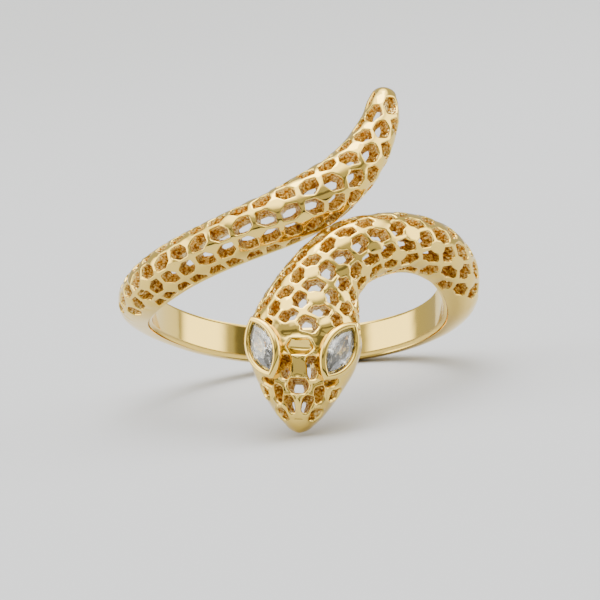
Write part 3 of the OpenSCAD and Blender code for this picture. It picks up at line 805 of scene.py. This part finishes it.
# Bezels.
# Each is a strip of gold bent round the stone, soldered into the head and rubbed down over
# the girdle: a smooth outer wall with a round top, a bright inner lip, and a cup under it.
BEZEL = np.array([  # outward from the stone's edge, above the head
    [0.2, -1.15], [0.3, -0.4], [0.34, -0.05], [0.36, 0.1], [0.35, 0.22], [0.31, 0.31],
    [0.25, 0.375], [0.18, 0.41], [0.11, 0.41], [0.055, 0.385], [0.02, 0.33], [0.0, 0.25],
    [0.0, 0.18]])
# share of the stone's outline, above the head
CUP = np.array([[0.96, 0.1], [0.8, -0.12], [0.55, -0.4], [0.2, -0.6], [0.01, -0.66]])
for side, name in ((-1, "left"), (1, "right")):
    o, axes = eye_frame(side)
    rings = [np.column_stack([marquise(0.2) * 0.01, np.full(48, BEZEL[0, 1])])]
    rings += [np.column_stack([marquise(d), np.full(48, z)]) for d, z in BEZEL]
    rings += [np.column_stack([marquise(0) * k, np.full(48, z)]) for k, z in CUP]
    bezel = Mesh()
    bezel.grid(o + np.array(rings) @ axes, POLISHED, close=True)
    piece = bezel.build(f"bezel_{name}", [gold], 50)
    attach(piece, "root")

# Eye stones.
# Marquise brilliants in the bezels: a table with sixteen sides, three rings of crown facets, a
# thin girdle, and a pavilion of many small facets down to the culet.
GIRDLE_Z, CROWN_H, GIRDLE_H, PAVILION_H = 0.18, 0.26, 0.05, 0.62
FOLD = 16
CROWN = [(0.5, 0), (0.7, 0.26), (0.87, 0.6)]  # share of the outline, share of the way down
PAVILION = [(0.83, 0.22), (0.65, 0.44), (0.47, 0.63), (0.3, 0.79), (0.14, 0.91)]


def stretched(angles, share):
    """Point of the marquise at a share of the way from its middle: the arc's point whose
    parameter is the angle."""
    x = HALF_L * np.cos(angles)
    y = np.sqrt(np.maximum(ARC_R * ARC_R - x * x, 0)) - (ARC_R - HALF_W)
    return np.stack([x, y * np.sign(np.sin(angles) + 1e-12)], -1) * share


def brilliant():
    """Rings of points joined by triangles, each turned by half a facet against the one before,
    apart from the girdle's two; the table on top and the culet below."""
    n, k = FOLD, np.arange(FOLD)
    table, low = GIRDLE_Z + CROWN_H, GIRDLE_Z - GIRDLE_H
    levels = [(share, table - down * CROWN_H) for share, down in CROWN]
    levels += [(1.0, GIRDLE_Z), (1.0, low)]
    levels += [(share, low - down * PAVILION_H) for share, down in PAVILION]
    turn = [0, 0.5, 0, 0.5, 0.5, 0, 0.5, 0, 0.5, 0]
    p = [np.column_stack([stretched(2 * np.pi * (k + t) / n, share), np.full(n, z)])
         for (share, z), t in zip(levels, turn)]
    p = np.vstack([*p, [[0, 0, low - PAVILION_H]]])
    faces = [list(range(n))]
    for r in range(len(levels) - 1):
        a, b = n * r + k, n * (r + 1) + k
        a1, b1 = n * r + (k + 1) % n, n * (r + 1) + (k + 1) % n
        if turn[r] == turn[r + 1]:
            faces += np.stack([a, b, b1, a1], 1).tolist()
        elif turn[r] < turn[r + 1]:
            faces += np.stack([a, b, a1], 1).tolist() + np.stack([b, b1, a1], 1).tolist()
        else:
            faces += np.stack([a, b, b1], 1).tolist() + np.stack([a, b1, a1], 1).tolist()
    last = n * (len(levels) - 1)
    faces += np.stack([last + k, np.full(n, len(p) - 1), last + (k + 1) % n], 1).tolist()
    return p, faces


# Colourless diamond, cut and polished: clear and strongly refracting, with a little white from
# the many reflections inside
diamond, _ = new_material("diamond_cut_polished", {
    "Base Color": linear("FFFFFF"), "Roughness": 0.0, "IOR": 2.417, "Transmission Weight": 0.92})
for side, name in ((-1, "left"), (1, "right")):
    o, axes = eye_frame(side)
    p, faces = brilliant()
    mesh = bpy.data.meshes.new(f"stone_{name}")
    mesh.from_pydata((laid(o + p @ axes) * 0.001).tolist(), [], faces)
    mesh.materials.append(diamond)
    stone = bpy.data.objects.new(f"stone_{name}", mesh)
    bpy.context.scene.collection.objects.link(stone)
    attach(stone, "root")
    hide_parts(f"eye_stone_{name}")

# Stage: floor.
# A plain pale sheet of matt paper that runs out of the picture, a hair under the ring.
FLOOR_HALF, FLOOR_Z = 3, -2e-5
floor_mesh = bpy.data.meshes.new("floor")
floor_mesh.from_pydata([(x * FLOOR_HALF, y * FLOOR_HALF, FLOOR_Z) for x, y in
                        ((-1, -1), (1, -1), (1, 1), (-1, 1))], [], [(0, 1, 2, 3)])
paper, _ = new_material("paper_matt", {"Base Color": linear("BFC2CC"), "Roughness": 0.7})
floor_mesh.materials.append(paper)
floor = bpy.data.objects.new("floor", floor_mesh)
bpy.context.scene.collection.objects.link(floor)

# Stage: light.
# A white studio: a broad light overhead, a tall soft box on each side, and black cards in
# front that put the dark lines on the gold.
world = bpy.data.worlds.new("studio")
bpy.context.scene.world = world
world.use_nodes = True
back = world.node_tree.nodes["Background"]
way = node(world, "ShaderNodeTexCoord").outputs["Generated"]
height = node(world, "ShaderNodeSeparateXYZ", {}, [(way, 0)]).outputs["Z"]
level = node(world, "ShaderNodeVectorMath", {"operation": "MULTIPLY", 1: (1, 1, 0)}, [(way, 0)])
level = node(world, "ShaderNodeVectorMath", {"operation": "NORMALIZE"}, [(level.outputs[0], 0)])


def soft_step(value, low, high, to=1.0, start=0.0):
    """Smooth rise from start to the value to, while the value goes from low to high."""
    return node(world, "ShaderNodeMapRange", {
        "interpolation_type": "SMOOTHSTEP", "From Min": low, "From Max": high,
        "To Min": start, "To Max": to}, [(value, "Value")]).outputs[0]


def combined(kind, a, b):
    """Sum (ADD) or product (MULTIPLY) of two values."""
    return node(world, "ShaderNodeMath", {"operation": kind}, [(a, 0), (b, 1)]).outputs[0]


def beside(azimuth, half, soft):
    """1 within half of an azimuth, counted from the camera's side, 0 beyond half + soft."""
    a = np.radians(azimuth)
    d = node(world, "ShaderNodeVectorMath", {
        "operation": "DOT_PRODUCT", 1: (np.sin(a), -np.cos(a), 0)}, [(level.outputs[0], 0)])
    return soft_step(d.outputs["Value"], np.cos(np.radians(half + soft)), np.cos(np.radians(half)))


SIDE_BOXES = ((94, 12), (-91, 16))  # azimuth and half width in degrees
# azimuth and half width in degrees, heights as sines, share of the light that is left
BLACK_CARDS = ((5, 48, 0.03, 0.1, 0.05), (10, 55, 0.46, 0.54, 0.28))
light = combined("ADD", soft_step(height, 0.7, 0.88, 3.6), soft_step(height, -0.2, 0.4, 0.72, 0.6))
for azimuth, half in SIDE_BOXES:
    box = combined("MULTIPLY", beside(azimuth, half, 11), soft_step(height, 0.85, 0.6))
    box = combined("MULTIPLY", box, soft_step(height, -0.3, 0.0, 3.4))
    light = combined("ADD", light, box)
for azimuth, half, low, high, least in BLACK_CARDS:
    upper = soft_step(height, high + 0.06, high)
    card = combined("MULTIPLY", soft_step(height, low - 0.03, low), upper)
    card = combined("MULTIPLY", card, beside(azimuth, half, 12))
    light = combined("MULTIPLY", light, soft_step(card, 0, 1, least, 1.0))
world.node_tree.links.new(light, back.inputs["Strength"])
back.inputs["Color"].default_value = (1, 0.975, 0.86, 1)

# A small square lamp above, behind the ring, for the soft shadow on the paper
lamp_data = bpy.data.lights.new("top", "AREA")
lamp_data.size, lamp_data.energy = 0.2, 0.6
lamp = bpy.data.objects.new("top", lamp_data)
lamp_at = Vector((0.0, 0.05, 0.35))
lamp_turn = (-lamp_at).to_track_quat("-Z", "Y").to_matrix().to_4x4()
lamp.matrix_world = Matrix.Translation(lamp_at) @ lamp_turn
bpy.context.scene.collection.objects.link(lamp)

# Stage: camera.
# The photo was taken from below the ring's own plane, which is a little above the floor once
# the ring lies down.
FOCAL, WIDTH, DISTANCE = 2700.0, 600, 160.6  # pixels, pixels, mm
AIM_X, AIM_Y = 2.0, -1.5  # pixels from the finger's axis to the picture's middle
BELOW, TURN = np.radians(-19.18), np.radians(-0.49)
fwd = np.array([0, np.cos(BELOW), -np.sin(BELOW)])
right = np.array([1.0, 0, 0])
up = np.cross(right, fwd)
right, up = np.cos(TURN) * right + np.sin(TURN) * up, np.cos(TURN) * up - np.sin(TURN) * right
spot = -fwd * DISTANCE + (right * AIM_X + up * AIM_Y) * DISTANCE / FOCAL
camera = bpy.data.objects.new("camera", bpy.data.cameras.new("camera"))
camera.data.sensor_width = 36
camera.data.lens = FOCAL * camera.data.sensor_width / WIDTH
camera.data.clip_start, camera.data.clip_end = 0.01, 20
axes = np.stack([LAY @ right, LAY @ up, -(LAY @ fwd)], 1)
camera.matrix_world = Matrix.Translation(laid(spot) * 0.001) @ Matrix(axes.tolist()).to_4x4()
bpy.context.scene.collection.objects.link(camera)
bpy.context.scene.camera = camera
